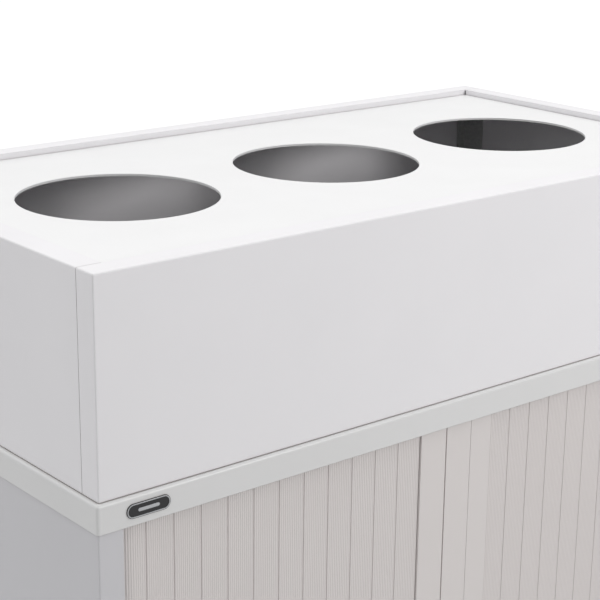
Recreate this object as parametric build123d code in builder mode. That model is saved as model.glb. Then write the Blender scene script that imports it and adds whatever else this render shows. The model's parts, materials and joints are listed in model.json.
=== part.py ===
from build123d import *
import math
import os

# Recycling bin station: an office cupboard of folded sheet steel with two roller-shutter doors, and a
# three-hole bin top standing on it.  Millimetres, +Z up, +X to the right as seen from the front,
# front at -Y.  The origin is on the floor, under the middle of the cupboard.

# Overall sizes
cabinet_width = 900.0
cabinet_depth = 483.0
cabinet_height = 1016.0
bin_top_inset = 4.0
bin_top_height = 200.0

# Sheet steel and its folds
sheet = 1.0
top_sheet = 1.2
fold_radius = 1.5
seam_gap = 0.6
contact_gap = 0.3
cut_through = 10.0

# Bin top: rim, lid and holes
rim_width = 25.0
lid_drop = 6.5
lid_ledge = 12.0
lid_gap = 0.6
lid_corner_relief = 0.5
hole_diameter = 200.0
hole_pitch = 265.0
hole_count = 3
hole_collar = 2.6
hole_edge_radius = 0.5
brace_wall_leg = 36.0
brace_end_leg = 12.0
brace_gap = 1.0

# Screws that hold the bin top to the cupboard
top_screw_diameter = 4.0
top_screw_clearance = 0.3
top_screw_head_diameter = 7.8
top_screw_head_height = 2.4
top_screw_length = 12.0
top_screw_run_x = 300.0
top_screw_run_y = 100.0
nut_width = 7.0
nut_height = 3.2
nut_thread_gap = 0.1
nut_clearance = 1.0

# Cupboard cap
cap_height = 27.0
cap_radius = 3.0
cap_overhang = 1.5
cap_bridge = 35.0
cap_opening_depth = 330.0
cap_opening_radius = 20.0
badge_length = 45.0
badge_height = 13.5
badge_thickness = 0.8
badge_from_corner = 29.0
badge_rim = 0.9
badge_inlay_thickness = 0.2
badge_bar_length = 22.0
badge_bar_height = 3.0

# Cupboard body
post_width = 25.0
post_lip = 3.5
rear_return = 20.0
bottom_flange = 30.0
top_flange = 16.5
leg_clearance = 16.0
floor_height = 60.0
base_rail_height = 76.0
base_rail_lip = 3.5
header_lip = 24.0
header_end_gap = 3.5
liner_return = 16.0
back_screw_diameter = 3.5
back_screw_clearance = 0.15
back_screw_head_diameter = 8.0
back_screw_head_height = 1.3
back_screw_length = 8.0
back_screws_per_side = 5
back_screw_end = 70.0

# Shutter track: a straight run behind the front, a quarter turn, and a straight run down the side
slat_thickness = 7.0
slat_pitch = 29.5
slat_gap = 0.4
shutter_from_front = 6.0
track_play = 0.5
track_wall = 1.5
track_depth = 12.0
track_turn_radius = 30.0
track_side_gap = 4.5
track_rear_gap = 23.0
track_lift = 0.3
track_top_play = 1.8
stored_tail = 8.0

# Leading stiles, pulls and lock
door_meeting_x = -3.5
meeting_gap = 0.4
left_stile_width = 68.2
right_stile_width = 28.2
stile_thickness = 10.0
stile_proud = 2.0
stile_wall = 1.6
stile_end = 3.0
stile_groove = 1.5
slat_to_stile = 0.3
runner_thickness = 6.6
runner_from_edge = 22.0
runner_from_meeting = 4.0
runner_narrow_from_edge = 17.0
pull_height = 560.0
pull_length = 100.0
pull_flange = 3.0
pull_proud = 1.0
pull_wall = 1.5
pull_gap = 0.2
left_pull_width = 22.0
right_pull_width = 16.0
lock_height = 560.0
lock_case_diameter = 16.0
lock_case_head = 20.0
lock_case_proud = 2.0
lock_case_tail = 2.0
lock_barrel_diameter = 10.0
lock_running_gap = 0.05
lock_barrel_tail = 2.0
key_slot_width = 1.4
key_slot_length = 6.0
key_slot_depth = 3.0
tongue_width = 12.0
tongue_reach = 26.0
tongue_thickness = 2.0
keeper_thickness = 1.0
keeper_gap = 1.0
keeper_from_meeting = 18.0
keeper_foot = 8.0
keeper_arm = 13.0
keeper_half_height = 14.0

# Inner bins
bin_gap = 9.0
bin_depth = 380.0
bin_height = 700.0
bin_wall = 2.5
bin_taper = 14.0
bin_corner = 34.0
bin_rim = 5.0
bin_rim_height = 10.0

# Levelling feet
foot_diameter = 32.0
foot_pad_height = 10.0
foot_chamfer = 2.0
foot_inset_x = 15.0
foot_inset_y = 30.0
stem_diameter = 8.0
stem_hole_gap = 0.5
stem_thread_gap = 0.05
stem_rise = 32.0
foot_nut_width = 13.0
foot_nut_height = 6.5

# Levels and faces that follow from the sizes above
body_half_width = cabinet_width / 2 - cap_overhang
body_front = -cabinet_depth / 2 + cap_overhang
body_back = cabinet_depth / 2 - cap_overhang
cap_underside = cabinet_height - top_sheet
cap_bottom = cabinet_height - cap_height
opening_half_width = body_half_width - post_width
inner_half_width = body_half_width - sheet
floor_top = floor_height

shutter_front = body_front + shutter_from_front
shutter_line_y = shutter_front + slat_thickness / 2
channel_width = slat_thickness + 2 * track_play
track_width = channel_width + 2 * track_wall
track_back_y = shutter_line_y + track_width / 2
side_line_x = inner_half_width - track_side_gap - track_width / 2
turn_x = side_line_x - track_turn_radius
turn_y = shutter_line_y + track_turn_radius
turn_run = track_turn_radius * math.pi / 2
track_rear_y = body_back - 2 * sheet - track_rear_gap
liner_outer_x = side_line_x - track_width / 2 - track_play
body_top_z = cap_underside - sheet
track_top_z = body_top_z - sheet
slat_bottom_z = floor_top + track_wall + track_lift
slat_top_z = track_top_z - track_wall - track_top_play

stile_front = shutter_front - stile_proud
stile_back = stile_front + stile_thickness
stile_bottom_z = base_rail_height + sheet
stile_top_z = track_top_z - track_depth - sheet
left_edge_closed = door_meeting_x - meeting_gap / 2 - left_stile_width
right_edge_closed = door_meeting_x + meeting_gap / 2 + right_stile_width

top_z0 = cabinet_height
top_z1 = cabinet_height + bin_top_height
top_half_width = cabinet_width / 2 - bin_top_inset
top_half_depth = cabinet_depth / 2 - bin_top_inset
lid_top_z = top_z1 - lid_drop
ledge_top_z = lid_top_z - top_sheet
lid_half_width = top_half_width - rim_width - lid_gap
lid_half_depth = top_half_depth - rim_width - lid_gap
hole_xs = [(i - (hole_count - 1) / 2) * hole_pitch for i in range(hole_count)]
cap_opening_width = hole_pitch - cap_bridge
bin_width = hole_pitch - bin_gap

header_back = track_back_y + contact_gap + sheet
nut_reach = nut_width / math.sqrt(3) + nut_clearance
top_screw_x = liner_outer_x - sheet - nut_reach
top_screw_y = -header_back - nut_reach

os.makedirs("parts", exist_ok=True)


def save(piece, name):
    """Label one finished piece and write it under its own name."""
    piece.label = name
    export_step(piece, f"parts/{name}.step")


def block(low, high, mode=Mode.ADD):
    """A box between two opposite corners, inside the current part."""
    size = [b - a for a, b in zip(low, high)]
    centre = [(a + b) / 2 for a, b in zip(low, high)]
    with Locations(tuple(centre)):
        Box(*size, mode=mode)


def mirrored_x(piece):
    """The same piece for the other side of the cupboard."""
    return mirror(piece, about=Plane.YZ)


def mirrored_y(piece):
    """The same piece for the other end of the depth."""
    return mirror(piece, about=Plane.XZ)


# ---------------------------------------------------------------- bin top

def top_screw_places():
    """Centres of the screws in the bin top's bottom flanges, clear of the header and the liners."""
    along_x = [(x, y) for x in (-top_screw_run_x, 0, top_screw_run_x) for y in (-top_screw_y, top_screw_y)]
    along_y = [(x, y) for x in (-top_screw_x, top_screw_x) for y in (-top_screw_run_y, top_screw_run_y)]
    return along_x + along_y


def top_screw_holes(keep):
    """Clearance holes for those screws that stand in the piece, through the bottom flange or the cap."""
    for x, y in top_screw_places():
        if keep(x, y):
            with Locations((x, y, top_z0)):
                Cylinder(top_screw_diameter / 2 + top_screw_clearance, cut_through, mode=Mode.SUBTRACT)


def bin_top_end_panel():
    """Front panel: a pan whose side returns wrap the corners, with the lid's ledge on its top flange."""
    back_edge = -top_half_depth + rim_width
    rim_half = top_half_width - rim_width - lid_corner_relief
    with BuildPart() as pan:
        block((-top_half_width, -top_half_depth, top_z0), (top_half_width, back_edge, top_z1))
        fillet(pan.edges().filter_by(Axis.X).group_by(Axis.Y)[0], fold_radius)
        fillet(pan.edges().filter_by(Axis.Z).group_by(Axis.Y)[0], fold_radius)
        offset(amount=-top_sheet, openings=pan.faces().sort_by(Axis.Y)[-1])
        block((-rim_half, back_edge - top_sheet, ledge_top_z - top_sheet), (rim_half, back_edge, top_z1))
        block(
            (-rim_half + lid_ledge, back_edge - top_sheet, ledge_top_z - top_sheet),
            (rim_half - lid_ledge, back_edge + lid_ledge, ledge_top_z),
        )
        top_screw_holes(lambda x, y: y < back_edge)
    return pan.part


def bin_top_side_panel():
    """Left panel: a channel between the two end panels, folded to the same rim and ledge."""
    outer = -top_half_width
    inner = outer + rim_width
    half_length = top_half_depth - rim_width - seam_gap
    with BuildPart() as panel:
        with BuildSketch(Plane.XZ.offset(-half_length)):
            with BuildLine():
                Polyline(
                    (inner, top_z0),
                    (outer, top_z0),
                    (outer, top_z1),
                    (inner, top_z1),
                    (inner, top_z1 - top_sheet),
                    (outer + top_sheet, top_z1 - top_sheet),
                    (outer + top_sheet, top_z0 + top_sheet),
                    (inner, top_z0 + top_sheet),
                    close=True,
                )
            make_face()
        extrude(amount=2 * half_length)
        fillet(panel.edges().filter_by(Axis.Y).group_by(Axis.X)[0], fold_radius)
        rim_half = half_length - lid_corner_relief
        block((inner - top_sheet, -rim_half, ledge_top_z - top_sheet), (inner, rim_half, top_z1))
        ledge_half = rim_half - lid_ledge
        block((inner, -ledge_half, ledge_top_z - top_sheet), (inner + lid_ledge, ledge_half, ledge_top_z))
        top_screw_holes(lambda x, y: x < inner and abs(y) < half_length)
    return panel.part


front_pan = bin_top_end_panel()
save(front_pan, "bin_top_front")
save(mirrored_y(front_pan), "bin_top_back")

left_channel = bin_top_side_panel()
save(left_channel, "bin_top_left")
save(mirrored_x(left_channel), "bin_top_right")

with BuildPart() as lid:
    block((-lid_half_width, -lid_half_depth, ledge_top_z), (lid_half_width, lid_half_depth, lid_top_z))
    for x in hole_xs:
        with Locations((x, 0, lid_top_z - hole_collar / 2)):
            Cylinder(hole_diameter / 2 + top_sheet, hole_collar)
    for x in hole_xs:
        with Locations((x, 0, lid_top_z)):
            Cylinder(hole_diameter / 2, cut_through, mode=Mode.SUBTRACT)
    hole_edges = lid.edges().filter_by(GeomType.CIRCLE).group_by(Axis.Z)[-1]
    fillet(hole_edges, hole_edge_radius)
save(lid.part, "lid")


def corner_brace():
    """Angle behind the front left seam: its long leg backs the side, its short leg the front."""
    x0 = -top_half_width + top_sheet
    y0 = -top_half_depth + top_sheet
    z0 = top_z0 + top_sheet + brace_gap
    z1 = top_z1 - top_sheet - brace_gap
    inset = fold_radius
    with BuildPart() as brace:
        block((x0, y0 + inset, z0), (x0 + top_sheet, y0 + brace_wall_leg, z1))
        block((x0, y0 + inset, z0), (x0 + brace_end_leg, y0 + inset + top_sheet, z1))
    return brace.part


front_left_brace = corner_brace()
save(front_left_brace, "corner_brace_front_left")
save(mirrored_x(front_left_brace), "corner_brace_front_right")
save(mirrored_y(front_left_brace), "corner_brace_back_left")
save(mirrored_x(mirrored_y(front_left_brace)), "corner_brace_back_right")

flange_upper_z = top_z0 + top_sheet

with BuildPart() as top_screws:
    for x, y in top_screw_places():
        with Locations((x, y, flange_upper_z + top_screw_head_height / 2)):
            Cylinder(top_screw_head_diameter / 2, top_screw_head_height)
        with Locations((x, y, flange_upper_z - top_screw_length / 2)):
            Cylinder(top_screw_diameter / 2, top_screw_length)
save(top_screws.part, "bin_top_screws")

with BuildPart() as top_nuts:
    with BuildSketch(Plane.XY.offset(cap_underside - nut_height)):
        for x, y in top_screw_places():
            with Locations((x, y)):
                RegularPolygon(nut_width / 2, 6, major_radius=False)
                Circle(top_screw_diameter / 2 + nut_thread_gap, mode=Mode.SUBTRACT)
    extrude(amount=nut_height)
save(top_nuts.part, "bin_top_nuts")

# ---------------------------------------------------------------- cupboard cap and badge

with BuildPart() as cap:
    block(
        (-cabinet_width / 2, -cabinet_depth / 2, cap_bottom),
        (cabinet_width / 2, cabinet_depth / 2, cabinet_height),
    )
    fillet(cap.edges().filter_by(Axis.Z), cap_radius)
    fillet(cap.faces().sort_by(Axis.Z)[-1].edges(), cap_radius)
    offset(amount=-top_sheet, openings=cap.faces().sort_by(Axis.Z)[0])
    with BuildSketch(Plane.XY.offset(cabinet_height)):
        for x in hole_xs:
            with Locations((x, 0)):
                RectangleRounded(cap_opening_width, cap_opening_depth, cap_opening_radius)
    extrude(amount=-2 * top_sheet, mode=Mode.SUBTRACT)
    top_screw_holes(lambda x, y: True)
save(cap.part, "cabinet_top")

badge_x = -cabinet_width / 2 + badge_from_corner + badge_length / 2
badge_z = cap_bottom + cap_height / 2
badge_plane = Plane(
    origin=(badge_x, -cabinet_depth / 2, badge_z), x_dir=(1, 0, 0), z_dir=(0, -1, 0)
)

with BuildPart() as badge:
    with BuildSketch(badge_plane):
        SlotOverall(badge_length, badge_height)
    extrude(amount=badge_thickness)
save(badge.part, "badge_plate")

with BuildPart() as inlay:
    with BuildSketch(badge_plane.offset(badge_thickness)):
        SlotOverall(badge_length - badge_rim, badge_height - badge_rim)
        SlotOverall(badge_length - 3 * badge_rim, badge_height - 3 * badge_rim, mode=Mode.SUBTRACT)
        SlotOverall(badge_bar_length, badge_bar_height)
    extrude(amount=badge_inlay_thickness)
save(inlay.part, "badge_inlay")

# ---------------------------------------------------------------- cupboard body

foot_x = body_half_width - foot_inset_x
foot_y = body_back - foot_inset_y
back_screw_x = body_half_width - rear_return / 2
back_screw_rise = (cap_bottom - back_screw_end - floor_top - back_screw_end) / (back_screws_per_side - 1)
back_screw_zs = [floor_top + back_screw_end + i * back_screw_rise for i in range(back_screws_per_side)]


def back_screw_holes():
    """Clearance holes through the rear returns and the back panel."""
    for x in (-back_screw_x, back_screw_x):
        for z in back_screw_zs:
            with Locations(Location((x, body_back - sheet, z), (90, 0, 0))):
                Cylinder(back_screw_diameter / 2 + back_screw_clearance, cut_through, mode=Mode.SUBTRACT)


def cabinet_side():
    """Left side panel: one sheet folded into front post, wall, rear return, bottom and top flange."""
    outer = -body_half_width
    wall = outer + sheet
    post = outer + post_width
    z0 = leg_clearance
    z1 = body_top_z
    with BuildPart() as side:
        block((outer, body_front, z0), (wall, body_back, z1))
        block((outer, body_front, z0), (post, body_front + sheet, z1))
        block((post - sheet, body_front, z0), (post, body_front + post_lip, z1))
        block((outer, body_back - sheet, z0), (outer + rear_return, body_back, z1))
        block((outer, body_front, z0), (outer + bottom_flange, body_back, z0 + sheet))
        block((outer, body_front, z1 - sheet), (outer + top_flange, body_back - 2 * sheet, z1))
        fillet(side.edges().filter_by(Axis.Z).group_by(Axis.X)[0], fold_radius)
        for y in (-foot_y, foot_y):
            with Locations((-foot_x, y, z0 + sheet / 2)):
                Cylinder(stem_diameter / 2 + stem_hole_gap, 2 * sheet, mode=Mode.SUBTRACT)
        back_screw_holes()
    return side.part


left_side = cabinet_side()
save(left_side, "cabinet_side_left")
save(mirrored_x(left_side), "cabinet_side_right")

with BuildPart() as back_panel:
    back_half = inner_half_width - contact_gap
    block(
        (-back_half, body_back - 2 * sheet, leg_clearance + sheet),
        (back_half, body_back - sheet, body_top_z),
    )
    back_screw_holes()
save(back_panel.part, "back_panel")

with BuildPart() as back_screws:
    for x in (-back_screw_x, back_screw_x):
        for z in back_screw_zs:
            with Locations(Location((x, body_back + back_screw_head_height / 2, z), (90, 0, 0))):
                Cylinder(back_screw_head_diameter / 2, back_screw_head_height)
            with Locations(Location((x, body_back - back_screw_length / 2, z), (90, 0, 0))):
                Cylinder(back_screw_diameter / 2, back_screw_length)
save(back_screws.part, "back_screws")

floor_front = body_front + sheet
floor_back = body_back - 2 * sheet
floor_bottom_z = leg_clearance + sheet

with BuildPart() as floor_tray:
    block((-inner_half_width, floor_front, floor_bottom_z), (inner_half_width, floor_back, floor_top))
    offset(amount=-sheet, openings=floor_tray.faces().sort_by(Axis.Z)[0])
    notch = body_half_width - opening_half_width + post_lip
    for side in (-1, 1):
        x0, x1 = sorted((side * inner_half_width, side * (inner_half_width - notch)))
        block((x0, floor_front, floor_bottom_z), (x1, floor_front + post_lip, floor_top), Mode.SUBTRACT)
save(floor_tray.part, "floor_tray")

rail_half = opening_half_width - contact_gap

with BuildPart() as base_rail:
    block((-rail_half, body_front, floor_bottom_z), (rail_half, body_front + sheet, base_rail_height))
    block(
        (-rail_half, body_front, base_rail_height - sheet),
        (rail_half, body_front + base_rail_lip, base_rail_height),
    )
    fillet(base_rail.edges().filter_by(Axis.X).group_by(Axis.Z)[-1].sort_by(Axis.Y)[0], fold_radius / 2)
save(base_rail.part, "base_rail")

header_half = body_half_width - header_end_gap
header_front = body_front + fold_radius

with BuildPart() as header:
    block((-header_half, header_front, body_top_z), (header_half, header_back, cap_underside))
    lip_half = turn_x - contact_gap
    header_lip_z = cap_underside - header_lip
    block((-lip_half, header_back - sheet, header_lip_z), (lip_half, header_back, cap_underside))
save(header.part, "header_rail")


def side_liner():
    """Left liner: keeps the stored shutter apart from the bins, with returns at both ends."""
    outer = -liner_outer_x
    z0 = floor_top
    z1 = cap_underside
    front = turn_y + track_wall
    back = body_back - 2 * sheet
    with BuildPart() as liner:
        block((outer, front, z0), (outer + sheet, back, z1))
        block((outer, front, z0), (outer + liner_return, front + sheet, z1))
        block((outer, back - sheet, z0), (outer + liner_return, back, z1))
        block((outer, front, z0), (outer + liner_return, back, z0 + sheet))
    return liner.part


left_liner = side_liner()
save(left_liner, "side_liner_left")
save(mirrored_x(left_liner), "side_liner_right")

# ---------------------------------------------------------------- shutter tracks and shutters


def route(start_x, low, high):
    """The right-hand shutter route from start_x, between two distances along it, as lines and an arc."""
    front_run = turn_x - start_x
    if low < front_run:
        first = min(high, front_run)
        Line((start_x + low, shutter_line_y), (start_x + first, shutter_line_y))
    a0 = max(low - front_run, 0) / track_turn_radius
    a1 = min(high - front_run, turn_run) / track_turn_radius
    if low < front_run + turn_run and high > front_run:
        sweep_angle = math.degrees(a1 - a0)
        CenterArc((turn_x, turn_y), track_turn_radius, -90 + math.degrees(a0), sweep_angle)
    side_low = max(low - front_run - turn_run, 0)
    side_high = high - front_run - turn_run
    if side_high > 0:
        Line((side_line_x, turn_y + side_low), (side_line_x, turn_y + side_high))


def track(start, base_z, direction):
    """Right-hand channel from start_x: its web lies at base_z and its walls stand (1) or hang (-1)."""
    length = turn_x - start + turn_run + track_rear_y - turn_y
    with BuildPart() as channel:
        with BuildSketch(Plane.XY.offset(base_z)):
            with BuildLine() as middle:
                route(start, 0, length)
            trace(middle.line, track_width)
        extrude(amount=direction * track_depth)
        with BuildSketch(Plane.XY.offset(base_z + direction * track_wall)):
            with BuildLine() as middle:
                route(start, 0, length)
            trace(middle.line, channel_width)
        extrude(amount=direction * track_depth, mode=Mode.SUBTRACT)
    return channel.part


def shutter(start):
    """Right-hand shutter: separate slats on the route, from the leading stile past the end of the turn."""
    slats = math.ceil((turn_x - start + turn_run + stored_tail) / slat_pitch)
    with BuildPart() as curtain:
        for i in range(slats):
            with BuildSketch(Plane.XY.offset(slat_bottom_z)):
                with BuildLine() as middle:
                    route(start, i * slat_pitch, (i + 1) * slat_pitch - slat_gap)
                trace(middle.line, slat_thickness)
            extrude(amount=slat_top_z - slat_bottom_z)
    return curtain.part


right_start = door_meeting_x + meeting_gap / 2
left_start = -door_meeting_x + meeting_gap / 2
save(track(right_start, track_top_z, -1), "track_top_right")
save(track(right_start, floor_top, 1), "track_bottom_right")
save(mirrored_x(track(left_start, track_top_z, -1)), "track_top_left")
save(mirrored_x(track(left_start, floor_top, 1)), "track_bottom_left")

right_shutter_start = right_edge_closed + slat_to_stile
left_shutter_start = -left_edge_closed + slat_to_stile
save(shutter(right_shutter_start), "shutter_right")
save(mirrored_x(shutter(left_shutter_start)), "shutter_left")

# ---------------------------------------------------------------- leading stiles, pulls and lock

left_band = left_stile_width / 2
left_meeting_edge = door_meeting_x - meeting_gap / 2
right_meeting_edge = door_meeting_x + meeting_gap / 2
left_pull_x = left_edge_closed + left_band / 2
right_pull_x = (right_meeting_edge + right_edge_closed) / 2
lock_x = left_meeting_edge - left_band / 2


def stile(x0, x1, cells, runner):
    """A leading stile: a hollow extrusion of so many cells, closed at its ends, with a runner on each."""
    cell = (x1 - x0) / cells
    with BuildPart() as extrusion:
        block((x0, stile_front, stile_bottom_z), (x1, stile_back, stile_top_z))
        for i in range(cells):
            block(
                (x0 + i * cell + stile_wall, stile_front + stile_wall, stile_bottom_z + stile_end),
                (x0 + (i + 1) * cell - stile_wall, stile_back - stile_wall, stile_top_z - stile_end),
                Mode.SUBTRACT,
            )
        for i in range(1, cells):
            seam = x0 + i * cell
            block(
                (seam - stile_groove / 2, stile_front, stile_bottom_z),
                (seam + stile_groove / 2, stile_front + stile_groove, stile_top_z),
                Mode.SUBTRACT,
            )
        y0 = shutter_line_y - runner_thickness / 2
        y1 = shutter_line_y + runner_thickness / 2
        block((runner[0], y0, slat_bottom_z), (runner[1], y1, stile_bottom_z))
        block((runner[0], y0, stile_top_z), (runner[1], y1, slat_top_z))
    return extrusion.part


def pull_pocket(x, width):
    """Opening through a stile that takes a pull."""
    half_width = width / 2 + pull_gap
    half_length = pull_length / 2 + pull_gap
    block(
        (x - half_width, stile_front - stile_wall, pull_height - half_length),
        (x + half_width, stile_back + stile_wall, pull_height + half_length),
        Mode.SUBTRACT,
    )


def pull(x, width):
    """A moulded finger pull: a tray set through the stile, with a flange round its mouth."""
    half_width = width / 2
    half_length = pull_length / 2
    z0 = pull_height - half_length
    z1 = pull_height + half_length
    with BuildPart() as cup:
        block((x - half_width, stile_front, z0), (x + half_width, stile_back - pull_gap, z1))
        block(
            (x - half_width - pull_flange, stile_front - pull_proud, z0 - pull_flange),
            (x + half_width + pull_flange, stile_front, z1 + pull_flange),
        )
        fillet(cup.faces().sort_by(Axis.Y)[0].edges().filter_by(Axis.Z), pull_proud / 2)
        block(
            (x - half_width + pull_wall, stile_front - 2 * pull_proud, z0 + pull_wall),
            (x + half_width - pull_wall, stile_back - pull_gap - pull_wall, z1 - pull_wall),
            Mode.SUBTRACT,
        )
    return cup.part


def rod(radius, y0, y1, mode=Mode.ADD):
    """A round on the lock's axis, from y0 to y1."""
    with Locations(Location((lock_x, (y0 + y1) / 2, lock_height), (90, 0, 0))):
        Cylinder(radius, y1 - y0, mode=mode)


lock_front = stile_front - lock_case_proud
barrel_back = stile_back + lock_case_tail + lock_barrel_tail

with BuildPart() as stile_left:
    left_runner = (left_edge_closed + runner_from_edge, left_meeting_edge - runner_from_meeting)
    add(stile(left_edge_closed, left_meeting_edge, 2, left_runner))
    pull_pocket(left_pull_x, left_pull_width)
    lock_hole_radius = lock_case_diameter / 2 + lock_running_gap
    rod(lock_hole_radius, stile_front - stile_wall, stile_back + stile_wall, Mode.SUBTRACT)
save(stile_left.part, "stile_left")

with BuildPart() as stile_right:
    right_runner = (right_meeting_edge + runner_from_meeting, right_edge_closed - runner_narrow_from_edge)
    add(stile(right_meeting_edge, right_edge_closed, 1, right_runner))
    pull_pocket(right_pull_x, right_pull_width)
save(stile_right.part, "stile_right")

save(pull(left_pull_x, left_pull_width), "pull_left")
save(pull(right_pull_x, right_pull_width), "pull_right")

with BuildPart() as lock_case:
    rod(lock_case_diameter / 2, stile_front, stile_back + lock_case_tail)
    rod(lock_case_head / 2, lock_front, stile_front)
    chamfer(lock_case.faces().sort_by(Axis.Y)[0].edges(), lock_case_proud / 4)
    rod(lock_barrel_diameter / 2 + lock_running_gap, lock_front - lock_case_proud, barrel_back, Mode.SUBTRACT)
save(lock_case.part, "lock_case")

with BuildPart() as lock_barrel:
    rod(lock_barrel_diameter / 2, lock_front, barrel_back)
    block(
        (lock_x - key_slot_width / 2, lock_front, lock_height - key_slot_length / 2),
        (lock_x + key_slot_width / 2, lock_front + key_slot_depth, lock_height + key_slot_length / 2),
        Mode.SUBTRACT,
    )
save(lock_barrel.part, "lock_barrel")

tongue_back = barrel_back + tongue_thickness

with BuildPart() as lock_tongue:
    with BuildSketch(Plane(origin=(lock_x, tongue_back, lock_height), x_dir=(1, 0, 0), z_dir=(0, -1, 0))):
        Circle(tongue_width / 2)
        with Locations((0, (tongue_reach - tongue_width / 2) / 2)):
            Rectangle(tongue_width, tongue_reach - tongue_width / 2)
        with Locations((0, tongue_reach - tongue_width / 2)):
            Circle(tongue_width / 2)
    extrude(amount=tongue_thickness)
save(lock_tongue.part, "lock_tongue")

with BuildPart() as keeper:
    riser_x = right_meeting_edge + keeper_from_meeting
    arm_y = tongue_back + keeper_gap
    z0 = lock_height - keeper_half_height
    z1 = lock_height + keeper_half_height
    block((riser_x, stile_back, z0), (riser_x + keeper_foot, stile_back + keeper_thickness, z1))
    block((riser_x, stile_back, z0), (riser_x + keeper_thickness, arm_y + keeper_thickness, z1))
    block((riser_x - keeper_arm, arm_y, z0), (riser_x, arm_y + keeper_thickness, z1))
save(keeper.part, "lock_keeper")

# ---------------------------------------------------------------- inner bins


def inner_bin(x):
    """A tapered, round-cornered tub with a turned-over rim, open at the top, on the floor tray."""
    z0 = floor_top
    z1 = floor_top + bin_height
    with BuildPart() as tub:
        with BuildSketch(Plane.XY.offset(z0)):
            with Locations((x, 0)):
                RectangleRounded(bin_width - 2 * bin_taper, bin_depth - 2 * bin_taper, bin_corner)
        with BuildSketch(Plane.XY.offset(z1)):
            with Locations((x, 0)):
                RectangleRounded(bin_width - 2 * bin_rim, bin_depth - 2 * bin_rim, bin_corner)
        loft()
        with BuildSketch(Plane.XY.offset(z1 - bin_rim_height)):
            with Locations((x, 0)):
                RectangleRounded(bin_width, bin_depth, bin_corner + bin_rim)
        extrude(amount=bin_rim_height)
        inner = bin_wall + bin_rim
        with BuildSketch(Plane.XY.offset(z0 + bin_wall)):
            with Locations((x, 0)):
                RectangleRounded(
                    bin_width - 2 * (bin_taper + bin_wall),
                    bin_depth - 2 * (bin_taper + bin_wall),
                    bin_corner - bin_wall,
                )
        with BuildSketch(Plane.XY.offset(z1)):
            with Locations((x, 0)):
                RectangleRounded(bin_width - 2 * inner, bin_depth - 2 * inner, bin_corner - bin_wall)
        loft(mode=Mode.SUBTRACT)
        fillet(tub.edges().group_by(Axis.Z)[0], bin_wall)
    return tub.part


for place, x in zip(("left", "centre", "right"), hole_xs):
    save(inner_bin(x), f"bin_{place}")

# ---------------------------------------------------------------- levelling feet

foot_places = {
    "front_left": (-foot_x, -foot_y),
    "front_right": (foot_x, -foot_y),
    "back_left": (-foot_x, foot_y),
    "back_right": (foot_x, foot_y),
}

for place, (x, y) in foot_places.items():
    with BuildPart() as pad:
        with Locations((x, y, foot_pad_height / 2)):
            Cylinder(foot_diameter / 2, foot_pad_height)
        chamfer(pad.faces().sort_by(Axis.Z)[-1].edges(), foot_chamfer)
    save(pad.part, f"foot_pad_{place}")
    with BuildPart() as stem:
        with Locations((x, y, foot_pad_height + stem_rise / 2)):
            Cylinder(stem_diameter / 2, stem_rise)
    save(stem.part, f"foot_stem_{place}")

with BuildPart() as foot_nuts:
    with BuildSketch(Plane.XY.offset(leg_clearance + sheet)):
        for x, y in foot_places.values():
            with Locations((x, y)):
                RegularPolygon(foot_nut_width / 2, 6, major_radius=False)
                Circle(stem_diameter / 2 + stem_thread_gap, mode=Mode.SUBTRACT)
    extrude(amount=foot_nut_height)
save(foot_nuts.part, "foot_nuts")
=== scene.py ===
import json
import math

import bmesh
import bpy
from mathutils import Matrix, Vector


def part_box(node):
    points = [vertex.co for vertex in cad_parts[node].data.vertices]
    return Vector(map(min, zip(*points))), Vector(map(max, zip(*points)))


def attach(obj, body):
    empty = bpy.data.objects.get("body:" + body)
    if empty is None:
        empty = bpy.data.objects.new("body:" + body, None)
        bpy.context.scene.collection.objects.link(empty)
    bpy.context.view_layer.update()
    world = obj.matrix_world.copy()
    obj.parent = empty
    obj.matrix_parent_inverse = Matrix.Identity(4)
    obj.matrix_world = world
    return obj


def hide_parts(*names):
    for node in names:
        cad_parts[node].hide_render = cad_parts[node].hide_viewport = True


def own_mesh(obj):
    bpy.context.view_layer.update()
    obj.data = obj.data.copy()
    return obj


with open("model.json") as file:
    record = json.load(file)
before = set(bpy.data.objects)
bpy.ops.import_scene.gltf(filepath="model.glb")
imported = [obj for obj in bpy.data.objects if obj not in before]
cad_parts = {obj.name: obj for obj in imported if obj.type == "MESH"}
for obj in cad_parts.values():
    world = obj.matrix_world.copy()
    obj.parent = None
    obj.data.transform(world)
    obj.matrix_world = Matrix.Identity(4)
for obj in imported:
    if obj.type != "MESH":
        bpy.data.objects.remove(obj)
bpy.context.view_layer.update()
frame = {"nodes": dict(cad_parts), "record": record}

# Recycling bin station: a white shutter-door cupboard with a three-hole bin top.
# Metres, in the frame's own axes: +X right, +Y to the back, +Z up, floor at Z = 0.

NODES = frame["nodes"]
MM = 0.001


# ---------------------------------------------------------------- node trees in short form

FLOAT = "NodeSocketFloat"
GEOMETRY = "NodeSocketGeometry"
INT = "NodeSocketInt"
MATERIAL = "NodeSocketMaterial"
OBJECT = "NodeSocketObject"
VECTOR = "NodeSocketVector"


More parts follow.
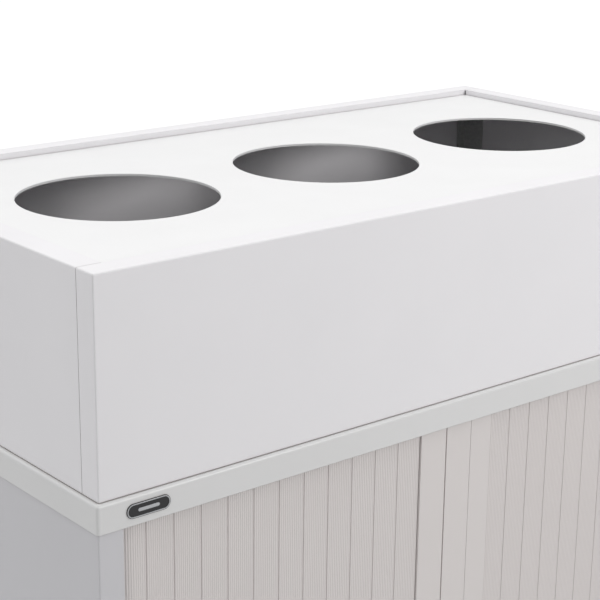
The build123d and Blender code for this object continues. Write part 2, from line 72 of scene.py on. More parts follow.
class Tree:
    """A node tree being built: adds nodes, joins sockets and keeps numbers in one call."""

    def __init__(self, tree):
        self.tree = tree

    def add(self, kind, values=(), **settings):
        """A node of that kind; values fills its inputs by name or number, with numbers or sockets."""
        node = self.tree.nodes.new(kind)
        for name, value in settings.items():
            setattr(node, name, value)
        for key, value in dict(values).items():
            self.feed(node.inputs[key], value)
        return node

    def feed(self, socket, value):
        """Links a socket to another, or sets its number."""
        if isinstance(value, bpy.types.NodeSocket):
            self.tree.links.new(value, socket)
        else:
            socket.default_value = value

    def maths(self, kind, a, b=None, c=None, clamp=False):
        """The result of one arithmetic step on numbers or sockets."""
        node = self.tree.nodes.new("ShaderNodeMath")
        node.operation = kind
        node.use_clamp = clamp
        for socket, value in zip(node.inputs, (a, b, c)):
            if value is not None:
                self.feed(socket, value)
        return node.outputs[0]

    def mix(self, share, first, second):
        """The blend of two colours, either of which may be a socket."""
        node = self.tree.nodes.new("ShaderNodeMix")
        node.data_type = "RGBA"
        given = {socket.identifier: socket for socket in node.inputs}
        self.feed(given["Factor_Float"], share)
        self.feed(given["A_Color"], first)
        self.feed(given["B_Color"], second)
        return next(socket for socket in node.outputs if socket.identifier == "Result_Color")


def named_tree(name, kind, inputs, outputs):
    """A node group with named sockets: the tree, the values it is given and the sockets it fills."""
    group = bpy.data.node_groups.new(name, kind)
    for label, socket_type, default in inputs:
        made = group.interface.new_socket(name=label, in_out="INPUT", socket_type=socket_type)
        if default is not None:
            made.default_value = default
    for label, socket_type in outputs:
        group.interface.new_socket(name=label, in_out="OUTPUT", socket_type=socket_type)
    source = group.nodes.new("NodeGroupInput")
    sink = group.nodes.new("NodeGroupOutput")
    return Tree(group), source.outputs, sink.inputs


# ---------------------------------------------------------------- surface effects shared by finishes

def make_coat_texture():
    """Fine skin of a sprayed or moulded surface, with slow patches of handling over it."""
    tree, given, out = named_tree(
        "coat_texture",
        "ShaderNodeTree",
        [("Grain size", FLOAT, 0.001), ("Patch size", FLOAT, 0.12)],
        [("Patches", FLOAT), ("Height", FLOAT)],
    )
    place = tree.add("ShaderNodeTexCoord").outputs["Object"]
    fine = tree.maths("DIVIDE", 1.0, given["Grain size"])
    broad = tree.maths("DIVIDE", 1.0, given["Patch size"])
    grain = tree.add("ShaderNodeTexNoise", {"Vector": place, "Scale": fine, "Detail": 3.0})
    patch = tree.add("ShaderNodeTexNoise", {"Vector": place, "Scale": broad, "Detail": 4.0})
    spread = tree.add(
        "ShaderNodeMapRange",
        {"Value": patch.outputs["Fac"], "From Min": 0.3, "From Max": 0.7},
    )
    tree.feed(out["Patches"], spread.outputs["Result"])
    tree.feed(out["Height"], grain.outputs["Fac"])
    return tree.tree


def make_edge_wear():
    """Rounds sharp edges for the light and marks them, broken up, for rubbing and dirt."""
    tree, given, out = named_tree(
        "edge_wear",
        "ShaderNodeTree",
        [("Edge radius", FLOAT, 0.0008), ("Break-up", FLOAT, 0.02)],
        [("Mask", FLOAT), ("Normal", VECTOR)],
    )
    rounded = tree.add("ShaderNodeBevel", {"Radius": given["Edge radius"]}, samples=4)
    flat = tree.add("ShaderNodeNewGeometry").outputs["Normal"]
    dot = tree.add("ShaderNodeVectorMath", operation="DOT_PRODUCT")
    tree.feed(dot.inputs[0], rounded.outputs["Normal"])
    tree.feed(dot.inputs[1], flat)
    bend = tree.maths("SUBTRACT", 1.0, dot.outputs["Value"])
    place = tree.add("ShaderNodeTexCoord").outputs["Object"]
    scale = tree.maths("DIVIDE", 1.0, given["Break-up"])
    noise = tree.add("ShaderNodeTexNoise", {"Vector": place, "Scale": scale, "Detail": 5.0})
    edge = tree.add("ShaderNodeMapRange", {"Value": bend, "From Min": 0.02, "From Max": 0.2})
    broken = tree.add(
        "ShaderNodeMapRange",
        {"Value": noise.outputs["Fac"], "From Min": 0.45, "From Max": 0.65},
    )
    mask = tree.maths("MULTIPLY", edge.outputs["Result"], broken.outputs["Result"], clamp=True)
    tree.feed(out["Mask"], mask)
    tree.feed(out["Normal"], rounded.outputs["Normal"])
    return tree.tree


def make_settled_dust():
    """Dust that lies thicker on faces that look up."""
    tree, given, out = named_tree(
        "settled_dust",
        "ShaderNodeTree",
        [("Cover", FLOAT, 0.1), ("Patch size", FLOAT, 0.06)],
        [("Mask", FLOAT)],
    )
    normal = tree.add("ShaderNodeNewGeometry").outputs["Normal"]
    axes = tree.add("ShaderNodeSeparateXYZ", {"Vector": normal})
    place = tree.add("ShaderNodeTexCoord").outputs["Object"]
    scale = tree.maths("DIVIDE", 1.0, given["Patch size"])
    noise = tree.add("ShaderNodeTexNoise", {"Vector": place, "Scale": scale, "Detail": 6.0})
    up = tree.maths("MAXIMUM", axes.outputs["Z"], 0.0)
    thick = tree.maths("MULTIPLY", up, noise.outputs["Fac"])
    tree.feed(out["Mask"], tree.maths("MULTIPLY", thick, given["Cover"], clamp=True))
    return tree.tree


def make_crease_shade():
    """Painted shade: darkens narrow creases and seams, where little light reaches."""
    tree, given, out = named_tree(
        "crease_shade",
        "ShaderNodeTree",
        [("Reach", FLOAT, 0.003)],
        [("Mask", FLOAT)],
    )
    # painted shade: the less open the surface is within reach, the darker it is painted
    open_share = tree.add("ShaderNodeAmbientOcclusion", {"Distance": given["Reach"]}, samples=4)
    mask = tree.add(
        "ShaderNodeMapRange",
        {
            "Value": open_share.outputs["AO"],
            "From Min": 0.35,
            "From Max": 0.8,
            "To Min": 1.0,
            "To Max": 0.0,
        },
    )
    tree.feed(out["Mask"], mask.outputs["Result"])
    return tree.tree


COAT_TEXTURE = make_coat_texture()
CREASE_SHADE = make_crease_shade()
EDGE_WEAR = make_edge_wear()
SETTLED_DUST = make_settled_dust()


# ---------------------------------------------------------------- finishes

# Dark brown of the painted shade in creases and seams.
CREASE_SHADE_COLOUR = (0.20, 0.15, 0.13, 1.0)
DUST_COLOUR = (0.55, 0.53, 0.50, 1.0)


def finish(
    name,
    colour,
    shade,
    roughness,
    metallic=0.0,
    grain=0.001,
    patch=0.12,
    skin=0.00005,
    edge_radius=0.0006,
    edge_colour=None,
    edge_strength=0.3,
    crease_shade_strength=0.0,
    dust=0.06,
):
    """A finish from the shared effects: colour drifts to shade in patches, edges wear, dust settles, and
    painted shade darkens creases and seams.

    Sizes are metres: grain and patch are the texture's features, skin is the grain's depth.
    """
    material = bpy.data.materials.new(name)
    material.use_nodes = True
    tree = Tree(material.node_tree)
    shader = material.node_tree.nodes["Principled BSDF"]

    skin_maps = tree.add("ShaderNodeGroup", node_tree=COAT_TEXTURE)
    skin_maps.inputs["Grain size"].default_value = grain
    skin_maps.inputs["Patch size"].default_value = patch
    edges = tree.add("ShaderNodeGroup", node_tree=EDGE_WEAR)
    edges.inputs["Edge radius"].default_value = edge_radius
    film = tree.add("ShaderNodeGroup", node_tree=SETTLED_DUST)
    film.inputs["Cover"].default_value = dust

    base = tree.mix(skin_maps.outputs["Patches"], (*colour, 1.0), (*shade, 1.0))
    rubbed = (*(edge_colour or shade), 1.0)
    edge_share = tree.maths("MULTIPLY", edges.outputs["Mask"], edge_strength)
    worn = tree.mix(edge_share, base, rubbed)
    finished = tree.mix(film.outputs["Mask"], worn, DUST_COLOUR)
    # painted shade: creases and seams are darkened towards a dark brown by ambient occlusion
    if crease_shade_strength:
        creases = tree.add("ShaderNodeGroup", node_tree=CREASE_SHADE)
        crease_share = tree.maths("MULTIPLY", creases.outputs["Mask"], crease_shade_strength)
        finished = tree.mix(crease_share, finished, CREASE_SHADE_COLOUR)
    tree.feed(shader.inputs["Base Color"], finished)

    low, high = roughness
    rough = tree.add(
        "ShaderNodeMapRange",
        {"Value": skin_maps.outputs["Patches"], "To Min": low, "To Max": high},
    )
    tree.feed(shader.inputs["Roughness"], rough.outputs["Result"])
    bump = tree.add(
        "ShaderNodeBump",
        {
            "Height": skin_maps.outputs["Height"],
            "Normal": edges.outputs["Normal"],
            "Strength": 1.0,
            "Distance": skin,
        },
    )
    tree.feed(shader.inputs["Normal"], bump.outputs["Normal"])
    shader.inputs["Metallic"].default_value = metallic
    return material


def bin_top_paint():
    """Satin white powder coat on the folded panels of the bin top."""
    return finish(
        "bin_top_paint",
        colour=(0.865, 0.853, 0.873),
        shade=(0.845, 0.835, 0.855),
        roughness=(0.42, 0.50),
        crease_shade_strength=0.4,
    )


def lid_paint():
    """The same coat on the lid, a shade lighter and smoother."""
    return finish(
        "lid_paint",
        colour=(0.865, 0.865, 0.868),
        shade=(0.85, 0.85, 0.853),
        roughness=(0.38, 0.46),
    )


def cap_paint():
    """Glossier coat on the cupboard's cap."""
    return finish(
        "cap_paint",
        colour=(0.755, 0.755, 0.755),
        shade=(0.74, 0.74, 0.74),
        roughness=(0.28, 0.34),
        crease_shade_strength=0.6,
    )


def cabinet_paint():
    """Cool light grey coat on the cupboard's panels, inside and out."""
    return finish(
        "cabinet_paint",
        colour=(0.65, 0.645, 0.668),
        shade=(0.632, 0.627, 0.65),
        roughness=(0.42, 0.52),
        crease_shade_strength=0.6,
    )


def shutter_plastic():
    """Warm light grey extrusion of the slats."""
    return finish(
        "shutter_plastic",
        colour=(0.74, 0.70, 0.69),
        shade=(0.725, 0.685, 0.675),
        roughness=(0.45, 0.55),
        grain=0.0006,
        patch=0.2,
        skin=0.000008,
        edge_radius=0.0002,
        edge_strength=0.1,
        crease_shade_strength=0.12,
    )


def stile_plastic():
    """The slats' plastic as the thicker leading stiles have it."""
    return finish(
        "stile_plastic",
        colour=(0.735, 0.698, 0.687),
        shade=(0.72, 0.683, 0.672),
        roughness=(0.40, 0.50),
        grain=0.0006,
        patch=0.2,
        skin=0.000012,
        edge_radius=0.0005,
        edge_strength=0.1,
        crease_shade_strength=0.15,
    )


def track_plastic():
    """Off-white moulding of the shutter tracks."""
    return finish(
        "track_plastic",
        colour=(0.72, 0.71, 0.68),
        shade=(0.69, 0.68, 0.65),
        roughness=(0.45, 0.6),
    )


def pull_plastic():
    """Mid grey moulding of the finger pulls."""
    return finish(
        "pull_plastic",
        colour=(0.50, 0.50, 0.49),
        shade=(0.47, 0.47, 0.46),
        roughness=(0.4, 0.55),
        skin=0.00004,
    )


def bin_plastic():
    """Dark grey moulding of the inner bins, scuffed at its edges."""
    return finish(
        "bin_plastic",
        colour=(0.36, 0.36, 0.355),
        shade=(0.33, 0.33, 0.325),
        roughness=(0.45, 0.65),
        grain=0.0015,
        skin=0.00006,
        dust=0.1,
        edge_colour=(0.38, 0.38, 0.38),
    )


def foot_plastic():
    """Black moulding of the foot pads, dusty from the floor."""
    return finish(
        "foot_plastic",
        colour=(0.02, 0.02, 0.02),
        shade=(0.03, 0.03, 0.03),
        roughness=(0.5, 0.7),
        skin=0.00006,
        dust=0.3,
        edge_colour=(0.08, 0.08, 0.08),
    )


def zinc_steel():
    """Bright zinc plate on screws, nuts, stems and braces, in a fine spangle."""
    return finish(
        "zinc_steel",
        colour=(0.58, 0.59, 0.58),
        shade=(0.50, 0.51, 0.50),
        roughness=(0.28, 0.45),
        metallic=1.0,
        patch=0.004,
        grain=0.0004,
        skin=0.00001,
        edge_colour=(0.75, 0.75, 0.75),
        dust=0.02,
    )


def lock_chrome():
    """Bright nickel of the lock's case and barrel."""
    return finish(
        "lock_chrome",
        colour=(0.72, 0.72, 0.72),
        shade=(0.66, 0.66, 0.66),
        roughness=(0.12, 0.22),
        metallic=1.0,
        patch=0.006,
        skin=0.000004,
        edge_radius=0.0003,
        edge_colour=(0.85, 0.85, 0.85),
        dust=0.01,
    )


def badge_black():
    """Gloss black of the badge's plate."""
    return finish(
        "badge_black",
        colour=(0.018, 0.018, 0.02),
        shade=(0.025, 0.025, 0.027),
        roughness=(0.18, 0.26),
        grain=0.0005,
        skin=0.000006,
        edge_radius=0.0002,
        edge_colour=(0.1, 0.1, 0.1),
        dust=0.02,
    )


def badge_silver():
    """Satin silver of the badge's rim and bar."""
    return finish(
        "badge_silver",
        colour=(0.62, 0.63, 0.65),
        shade=(0.55, 0.56, 0.58),
        roughness=(0.28, 0.38),
        metallic=0.9,
        grain=0.0003,
        skin=0.000006,
        edge_radius=0.00008,
        dust=0.01,
    )


FINISHES = (
    bin_top_paint, lid_paint, cap_paint, cabinet_paint, shutter_plastic, stile_plastic,
    track_plastic, pull_plastic, bin_plastic, foot_plastic, zinc_steel, lock_chrome, badge_black,
    badge_silver,
)
MATERIALS = {make.__name__: make() for make in FINISHES}


def paint_node(name, finish_name):
    """Puts one finish on every slot of a carried-over CAD node."""
    thing = NODES[name]
    if not thing.material_slots:
        thing.data.materials.append(MATERIALS[finish_name])
    for slot in thing.material_slots:
        slot.material = MATERIALS[finish_name]


for entry in frame["record"]["subparts"]:
    paint_node(entry["node"], entry["material_slot"])


# ---------------------------------------------------------------- shutters: ribbed slats on their route

def make_shutter_tree():
    """Slats in a row, each ribbed on its face, laid along a front run, a quarter turn and a side run."""
    tree, given, out = named_tree(
        "ribbed_shutter",
        "GeometryNodeTree",
        [
            ("Slats", INT, 14),
            ("Ribs per slat", INT, 13),
            ("Pitch", FLOAT, 0.0295),
            ("Gap", FLOAT, 0.0004),
            ("Thickness", FLOAT, 0.007),
            ("Rib height", FLOAT, 0.00045),
            ("Joint depth", FLOAT, 0.0007),
            ("Joint width", FLOAT, 0.0007),
            ("Bottom", FLOAT, 0.06),
            ("Top", FLOAT, 1.0),
            ("Start", FLOAT, 0.02),
            ("Line", FLOAT, -0.23),
            ("Turn", FLOAT, 0.4),
            ("Turn radius", FLOAT, 0.03),
            ("Side", FLOAT, 1.0),
            ("Finish", MATERIAL, None),
        ],
        [("Geometry", GEOMETRY)],
    )
    columns_per_rib = 4
    back_share = -0.5  # the joint's groove on the back face, as a share of the front's
    quarter = math.pi / 2

    # one slat, cut into columns, its front face pushed in between ribs and at both joints
    cells = tree.maths("MULTIPLY", given["Ribs per slat"], columns_per_rib)
    columns = tree.maths("ADD", cells, 1.0)
    width = tree.maths("SUBTRACT", given["Pitch"], given["Gap"])
    height = tree.maths("SUBTRACT", given["Top"], given["Bottom"])
    size = tree.add("ShaderNodeCombineXYZ", {"X": width, "Y": given["Thickness"], "Z": height})
    slat = tree.add("GeometryNodeMeshCube", {"Size": size.outputs[0], "Vertices X": columns})

    place = tree.add("GeometryNodeInputPosition").outputs[0]
    axes = tree.add("ShaderNodeSeparateXYZ", {"Vector": place})
    across = axes.outputs["X"]
    face = tree.maths("LESS_THAN", axes.outputs["Y"], 0.0)
    along = tree.maths("ADD", tree.maths("DIVIDE", across, width), 0.5)
    phase = tree.maths("MULTIPLY", along, tree.maths("MULTIPLY", given["Ribs per slat"], math.pi))
    wave = tree.maths("ABSOLUTE", tree.maths("SINE", phase))
    crest = tree.maths("MULTIPLY", tree.maths("SUBTRACT", 1.0, wave), given["Rib height"])
    to_edge = tree.maths("SUBTRACT", tree.maths("DIVIDE", width, 2.0), tree.maths("ABSOLUTE", across))
    near = tree.maths("SUBTRACT", 1.0, tree.maths("DIVIDE", to_edge, given["Joint width"]), clamp=True)
    fall = tree.maths("MULTIPLY", near, given["Joint depth"])
    push = tree.maths("MULTIPLY", face, tree.maths("MAXIMUM", crest, fall))
    back_face = tree.maths("SUBTRACT", 1.0, face)
    back_push = tree.maths("MULTIPLY", back_face, tree.maths("MULTIPLY", fall, back_share))
    shift = tree.add("ShaderNodeCombineXYZ", {"Y": tree.maths("ADD", push, back_push)})
    ribbed = tree.add(
        "GeometryNodeSetPosition",
        {"Geometry": slat.outputs["Mesh"], "Offset": shift.outputs[0]},
    )

    # the slats in a straight row, from the middle of the first
    first = tree.maths("DIVIDE", width, 2.0)
    step = tree.add("ShaderNodeCombineXYZ", {"X": given["Pitch"]})
    start = tree.add("ShaderNodeCombineXYZ", {"X": first})
    row = tree.add(
        "GeometryNodeMeshLine",
        {"Count": given["Slats"], "Start Location": start.outputs[0], "Offset": step.outputs[0]},
    )
    copies = tree.add(
        "GeometryNodeInstanceOnPoints",
        {"Points": row.outputs["Mesh"], "Instance": ribbed.outputs["Geometry"]},
    )
    whole = tree.add("GeometryNodeRealizeInstances", {"Geometry": copies.outputs["Instances"]})

    # distance along the route, and how far off its middle line, become a place on it
    run_place = tree.add("GeometryNodeInputPosition").outputs[0]
    run_axes = tree.add("ShaderNodeSeparateXYZ", {"Vector": run_place})
    distance, aside = run_axes.outputs["X"], run_axes.outputs["Y"]
    front_run = tree.maths("SUBTRACT", given["Turn"], given["Start"])
    beyond = tree.maths("SUBTRACT", distance, front_run)
    turned = tree.maths("DIVIDE", beyond, given["Turn radius"])
    angle = tree.maths("MINIMUM", tree.maths("MAXIMUM", turned, 0.0), quarter)
    turn_length = tree.maths("MULTIPLY", given["Turn radius"], quarter)
    side_run = tree.maths("MAXIMUM", tree.maths("SUBTRACT", beyond, turn_length), 0.0)
    reach = tree.maths("SUBTRACT", given["Turn radius"], aside)
    x_front = tree.maths("ADD", given["Start"], tree.maths("MINIMUM", distance, front_run))
    x = tree.maths("ADD", x_front, tree.maths("MULTIPLY", reach, tree.maths("SINE", angle)))
    y_middle = tree.maths("ADD", given["Line"], given["Turn radius"])
    y_turn = tree.maths("SUBTRACT", y_middle, tree.maths("MULTIPLY", reach, tree.maths("COSINE", angle)))
    y = tree.maths("ADD", y_turn, side_run)
    z_middle = tree.maths("DIVIDE", tree.maths("ADD", given["Top"], given["Bottom"]), 2.0)
    z = tree.maths("ADD", run_axes.outputs["Z"], z_middle)
    handed_x = tree.maths("MULTIPLY", x, given["Side"])
    spot = tree.add("ShaderNodeCombineXYZ", {"X": handed_x, "Y": y, "Z": z})
    laid = tree.add(
        "GeometryNodeSetPosition",
        {"Geometry": whole.outputs["Geometry"], "Position": spot.outputs[0]},
    )

    # a left-hand shutter is mirrored, so its faces are turned back outwards
    mirrored = tree.add(
        "FunctionNodeCompare",
        {0: given["Side"], 1: 0.0},
        data_type="FLOAT",
        operation="LESS_THAN",
    )
    turned_out = tree.add(
        "GeometryNodeFlipFaces",
        {"Mesh": laid.outputs["Geometry"], "Selection": mirrored.outputs[0]},
    )
    real = tree.add("GeometryNodeRealizeInstances", {"Geometry": turned_out.outputs["Mesh"]})
    painted = tree.add(
        "GeometryNodeSetMaterial",
        {"Geometry": real.outputs["Geometry"], "Material": given["Finish"]},
    )
    tree.feed(out["Geometry"], painted.outputs["Geometry"])
    return tree.tree


def grown(name, tree, settings, body):
    """The plain mesh that a geometry tree gives with these settings, as a finished piece on a body."""
    holder = bpy.data.objects.new(name + "_maker", bpy.data.meshes.new(name + "_seed"))
    bpy.context.scene.collection.objects.link(holder)
    maker = holder.modifiers.new("maker", "NODES")
    maker.node_group = tree
    for item in tree.interface.items_tree:
        if item.item_type == "SOCKET" and item.in_out == "INPUT" and item.name in settings:
            maker[item.identifier] = settings[item.name]
    holder.update_tag()
    bpy.context.view_layer.update()
    evaluated = holder.evaluated_get(bpy.context.evaluated_depsgraph_get())
    mesh = bpy.data.meshes.new_from_object(evaluated)
    mesh.name = name
    holder.modifiers.remove(maker)
    bpy.data.objects.remove(holder)
    piece = bpy.data.objects.new(name, mesh)
    bpy.context.scene.collection.objects.link(piece)
    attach(piece, body)
    return piece


def smooth_by_angle(mesh, degrees):
    """Smooth shading, kept sharp where faces meet at more than the given angle."""
    mesh.shade_smooth()
    mesh.set_sharp_from_angle(angle=math.radians(degrees))


SLAT_PITCH = 29.5 * MM
SLAT_GAP = 0.4 * MM
TURN_RADIUS = 30 * MM
SLAT_THICKNESS = 7 * MM
SLATS = {"left": 14, "right": 15}
SHARPEST_SMOOTH_RIB = 50  # degrees
SHUTTER_TREE = make_shutter_tree()


def hang_shutter(hand):
    """One shutter of ribbed slats, laid from the cupboard's middle along its front towards its side."""
    node = "shutter_" + hand
    low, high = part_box(node)
    side = 1.0 if hand == "right" else -1.0
    side_line = max(abs(low.x), abs(high.x)) - SLAT_THICKNESS / 2
    inner_edge = min(abs(low.x), abs(high.x))
    piece = grown(
        "ribbed_shutter_" + hand,
        SHUTTER_TREE,
        {
            "Slats": SLATS[hand],
            "Pitch": SLAT_PITCH,
            "Gap": SLAT_GAP,
            "Thickness": SLAT_THICKNESS,
            "Bottom": low.z,
            "Top": high.z,
            "Start": inner_edge,
            "Line": low.y + SLAT_THICKNESS / 2,
            "Turn": side_line - TURN_RADIUS,
            "Turn radius": TURN_RADIUS,
            "Side": side,
            "Finish": MATERIALS["shutter_plastic"],
        },
        "cabinet",
    )
    smooth_by_angle(piece.data, SHARPEST_SMOOTH_RIB)
    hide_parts(node)
    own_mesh(piece)


for hand in SLATS:
    hang_shutter(hand)


# ---------------------------------------------------------------- screws

def ring_of(work, radius, z, sides):
    """A closed ring of points at one height."""
    points = []
    for k in range(sides):
        angle = 2 * math.pi * k / sides
        points.append(work.verts.new((radius * math.cos(angle), radius * math.sin(angle), z)))
    return points


def pan_head_mesh(diameter, height):
    """A pan head, its seat on Z = 0 and its crown up."""
    sides = 24
    steps = 6
    rim_share = 0.35  # the rim's height, as a share of the head's
    shoulder = 0.6  # a smaller power makes a squarer shoulder
    work = bmesh.new()
    loops = [ring_of(work, diameter / 2, 0.0, sides)]
    for step in range(steps):
        turn = math.pi / 2 * step / steps
        radius = diameter / 2 * math.cos(turn) ** shoulder
        z = height * (rim_share + (1 - rim_share) * math.sin(turn))
        loops.append(ring_of(work, radius, z, sides))
    for lower, upper in zip(loops, loops[1:]):
        for k in range(sides):
            after = (k + 1) % sides
            work.faces.new((lower[k], lower[after], upper[after], upper[k]))
    work.faces.new(loops[-1])
    work.faces.new(list(reversed(loops[0])))
    head = bpy.data.meshes.new("screw_head")
    work.to_mesh(head)
    work.free()
    return head


def cross_mesh(diameter, height):
    """The two crossing blades of the driver, as a cutter through the crown."""
    arm = diameter * 0.6
    blade = diameter * 0.17
    depth = height * 1.2
    work = bmesh.new()
    for across, along in ((arm, blade), (blade, arm)):
        place = Matrix.Translation((0, 0, height)) @ Matrix.Diagonal((across, along, depth, 1))
        bmesh.ops.create_cube(work, size=1.0, matrix=place)
    cross = bpy.data.meshes.new("screw_cross")
    work.to_mesh(cross)
    work.free()
    return cross


def screw_head_mesh(diameter, height):
    """A pan head with a cross recess."""
    head = bpy.data.objects.new("screw_head", pan_head_mesh(diameter, height))
    cross = bpy.data.objects.new("screw_cross", cross_mesh(diameter, height))
    for thing in (head, cross):
        bpy.context.scene.collection.objects.link(thing)
    cut = head.modifiers.new("cross", "BOOLEAN")
    cut.operation = "DIFFERENCE"
    cut.use_self = True
    cut.solver = "EXACT"
    cut.object = cross
    bpy.context.view_layer.update()
    evaluated = head.evaluated_get(bpy.context.evaluated_depsgraph_get())
    made = bpy.data.meshes.new_from_object(evaluated)
    for thing in (head, cross):
        bpy.data.objects.remove(thing)
    made.name = "cross_head"
    return made


def make_screw_tree():
    """Copies of one screw on a grid of places, each left at its own turn by the driver."""
    tree, given, out = named_tree(
        "screw_row",
        "GeometryNodeTree",
        [
            ("Screw", OBJECT, None),
            ("Columns", INT, 2),
            ("Rows", INT, 5),
            ("Width", FLOAT, 0.8),
            ("Height", FLOAT, 0.8),
            ("Seed", INT, 7),
            ("Finish", MATERIAL, None),
        ],
        [("Geometry", GEOMETRY)],
    )
    grid = tree.add(
        "GeometryNodeMeshGrid",
        {
            "Size X": given["Width"],
            "Size Y": given["Height"],
            "Vertices X": given["Columns"],
            "Vertices Y": given["Rows"],
        },
    )
    model = tree.add("GeometryNodeObjectInfo", {"Object": given["Screw"]})
    spin = tree.add("FunctionNodeRandomValue", {"Seed": given["Seed"]}, data_type="FLOAT")
    limits = {socket.identifier: socket for socket in spin.inputs}
    limits["Min_001"].default_value = 0.0
    limits["Max_001"].default_value = math.pi / 2
    amount = next(socket for socket in spin.outputs if socket.identifier == "Value_001")
    turn = tree.add("ShaderNodeCombineXYZ", {"Z": amount})
    rotation = tree.add("FunctionNodeEulerToRotation", {"Euler": turn.outputs[0]})
    copies = tree.add(
        "GeometryNodeInstanceOnPoints",
        {
            "Points": grid.outputs["Mesh"],
            "Instance": model.outputs["Geometry"],
            "Rotation": rotation.outputs[0],
        },
    )
    real = tree.add("GeometryNodeRealizeInstances", {"Geometry": copies.outputs["Instances"]})
    painted = tree.add(
        "GeometryNodeSetMaterial",
        {"Geometry": real.outputs["Geometry"], "Material": given["Finish"]},
    )
    tree.feed(out["Geometry"], painted.outputs["Geometry"])
    return tree.tree


SCREW_TREE = make_screw_tree()


def screw_model(head_diameter, head_height, shank_diameter, shank_length):
    """One whole screw as an object: cross head above Z = 0, tapered shank below."""
    tip_share = 0.6  # the tip's width, as a share of the shank's
    mesh = screw_head_mesh(head_diameter, head_height)
    work = bmesh.new()
    work.from_mesh(mesh)
    bmesh.ops.create_cone(
        work,
        cap_ends=True,
        segments=16,
        radius1=shank_diameter / 2 * tip_share,
        radius2=shank_diameter / 2,
        depth=shank_length,
        matrix=Matrix.Translation((0, 0, -shank_length / 2)),
    )
    work.to_mesh(mesh)
    work.free()
    model = bpy.data.objects.new("screw_model", mesh)
    bpy.context.scene.collection.objects.link(model)
    return model


def make_back_screws():
    """Two columns of screws through the rear returns, instead of the frame's plain ones."""
    low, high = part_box("back_screws")
    head_diameter = 8 * MM
    head_height = 1.3 * MM
    shank_diameter = 3.5 * MM
    sharpest_smooth = 35  # degrees
    shank_length = high.y - low.y - head_height
    model = screw_model(head_diameter, head_height, shank_diameter, shank_length)
    piece = grown(
        "back_panel_screws",
        SCREW_TREE,
        {
            "Screw": model,
            "Columns": 2,
            "Rows": 5,
            "Width": high.x - low.x - head_diameter,
            "Height": high.z - low.z - head_diameter,
            "Finish": MATERIALS["zinc_steel"],
        },
        "cabinet",
    )
    seat = Vector(((low.x + high.x) / 2, high.y - head_height, (low.z + high.z) / 2))
    piece.data.transform(Matrix.Translation(seat) @ Matrix.Rotation(-math.pi / 2, 4, "X"))
    piece.data.update()
    smooth_by_angle(piece.data, sharpest_smooth)
    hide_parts("back_screws")
    bpy.data.objects.remove(model)


make_back_screws()


# ---------------------------------------------------------------- room, light and camera

WHITE = (1.0, 1.0, 1.0, 1.0)


def floor_paint():
    """Pale floor paint, seen as clean white and giving the object a softer light than it shows."""
    cast = (0.6, 0.6, 0.6, 1.0)
    seen_low = (0.94, 0.94, 0.94, 1.0)
    seen_high = (0.97, 0.97, 0.97, 1.0)
    patches_per_metre = 0.8
    lift = 0.14
    material = bpy.data.materials.new("floor_paint")
    material.use_nodes = True
    tree = Tree(material.node_tree)
    shader = material.node_tree.nodes["Principled BSDF"]
    place = tree.add("ShaderNodeTexCoord").outputs["Object"]
    noise = tree.add(
        "ShaderNodeTexNoise",
        {"Vector": place, "Scale": patches_per_metre, "Detail": 3.0},
    )
    seen = tree.add("ShaderNodeLightPath").outputs["Is Camera Ray"]
    lit = tree.mix(noise.outputs["Fac"], seen_low, seen_high)
    tree.feed(shader.inputs["Base Color"], tree.mix(seen, cast, lit))
    tree.feed(shader.inputs["Emission Strength"], tree.maths("MULTIPLY", seen, lift))
    shader.inputs["Emission Color"].default_value = WHITE
    shader.inputs["Roughness"].default_value = 0.9
    shader.inputs["Specular IOR Level"].default_value = 0.1
    return material


def make_stage():
    """A plain pale floor, large enough to run out of sight, just under the feet."""
    half = 60.0
    drop = 0.5 * MM
    work = bmesh.new()
    corners = []
    for x, y in ((-half, -half), (half, -half), (half, half), (-half, half)):
        corners.append(work.verts.new((x, y, -drop)))
    work.faces.new(corners)
    mesh = bpy.data.meshes.new("studio_floor")
    work.to_mesh(mesh)
    work.free()
    mesh.materials.append(floor_paint())
    floor = bpy.data.objects.new("studio_floor", mesh)
    bpy.context.scene.collection.objects.link(floor)


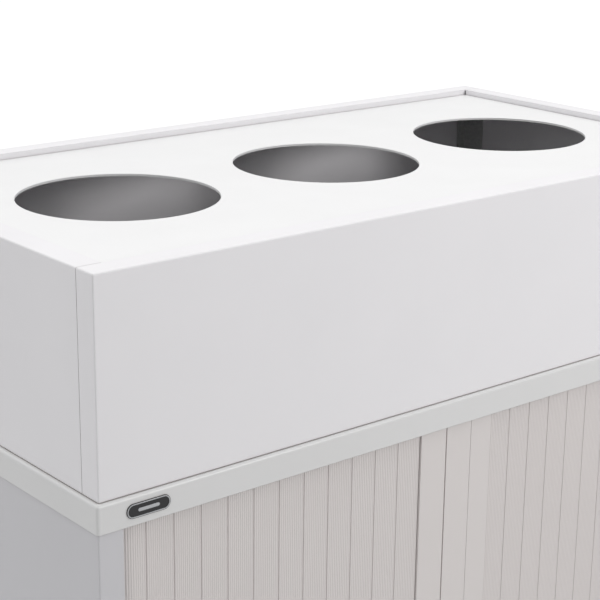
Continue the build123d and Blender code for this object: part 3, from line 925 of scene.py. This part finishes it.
def make_sky():
    """A studio room, brightest overhead and darker towards the front; seen as clean white."""
    horizon = 0.55
    overhead = 0.84
    lean = 0.68
    world = bpy.data.worlds.new("studio")
    bpy.context.scene.world = world
    world.use_nodes = True
    tree = Tree(world.node_tree)
    background = world.node_tree.nodes["Background"]
    towards = tree.add("ShaderNodeTexCoord").outputs["Generated"]
    axes = tree.add("ShaderNodeSeparateXYZ", {"Vector": towards})
    rise = tree.maths("MAXIMUM", axes.outputs["Z"], 0.0)
    glow = tree.maths("MULTIPLY", tree.maths("POWER", rise, 2.0), overhead)
    sided = tree.maths("ADD", tree.maths("MULTIPLY", axes.outputs["Y"], lean), 1.0)
    ceiling = tree.maths("MULTIPLY", tree.maths("ADD", glow, horizon), sided)
    seen = tree.add("ShaderNodeLightPath").outputs["Is Camera Ray"]
    strength = tree.maths("MAXIMUM", ceiling, seen)
    background.inputs["Color"].default_value = WHITE
    tree.feed(background.inputs["Strength"], strength)


def soft_box(name, place, target, size, power, colour):
    """A square studio soft box aimed at a point."""
    light = bpy.data.lights.new(name, "AREA")
    light.shape = "SQUARE"
    light.size = size
    light.energy = power
    light.color = colour
    lamp = bpy.data.objects.new(name, light)
    lamp.location = place
    lamp.rotation_euler = (target - place).to_track_quat("-Z", "Y").to_euler()
    bpy.context.scene.collection.objects.link(lamp)


def make_lights():
    """A box in front and to the right, whose light also falls through the holes onto the back panel."""
    soft_box(
        "front_box",
        place=Vector((0.8, -1.9, 1.85)),
        target=Vector((0.0, 0.0, 1.12)),
        size=0.6,
        power=16,
        colour=(1.0, 0.99, 0.985),
    )


def make_camera():
    """A standing person's view of the bin top from its front left, close in on the holes."""
    low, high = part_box("bin_top_front")
    near_corner = Vector((low.x, low.y, high.z))
    stand_off = Vector((-0.6789, -1.0819, 0.3657))
    yaw = math.radians(39.59)
    pitch = math.radians(16.92)
    roll = math.radians(0.671)
    level = Vector((math.sin(yaw), math.cos(yaw), 0.0))
    forward = level * math.cos(pitch) - Vector((0, 0, math.sin(pitch)))
    right = forward.cross(Vector((0, 0, 1))).normalized()
    up = right.cross(forward)
    tilted_right = right * math.cos(roll) + up * math.sin(roll)
    tilted_up = up * math.cos(roll) - right * math.sin(roll)
    turn = Matrix((tilted_right, tilted_up, -forward)).transposed().to_4x4()
    camera = bpy.data.objects.new("camera", bpy.data.cameras.new("camera"))
    camera.data.lens = 98.88
    camera.data.sensor_width = 36.0
    camera.data.clip_start = 0.02
    camera.data.clip_end = 200.0
    camera.matrix_world = Matrix.Translation(near_corner + stand_off) @ turn
    bpy.context.scene.collection.objects.link(camera)
    bpy.context.scene.camera = camera


make_stage()
make_sky()
make_lights()
make_camera()
bpy.context.scene.view_settings.view_transform = "Standard"
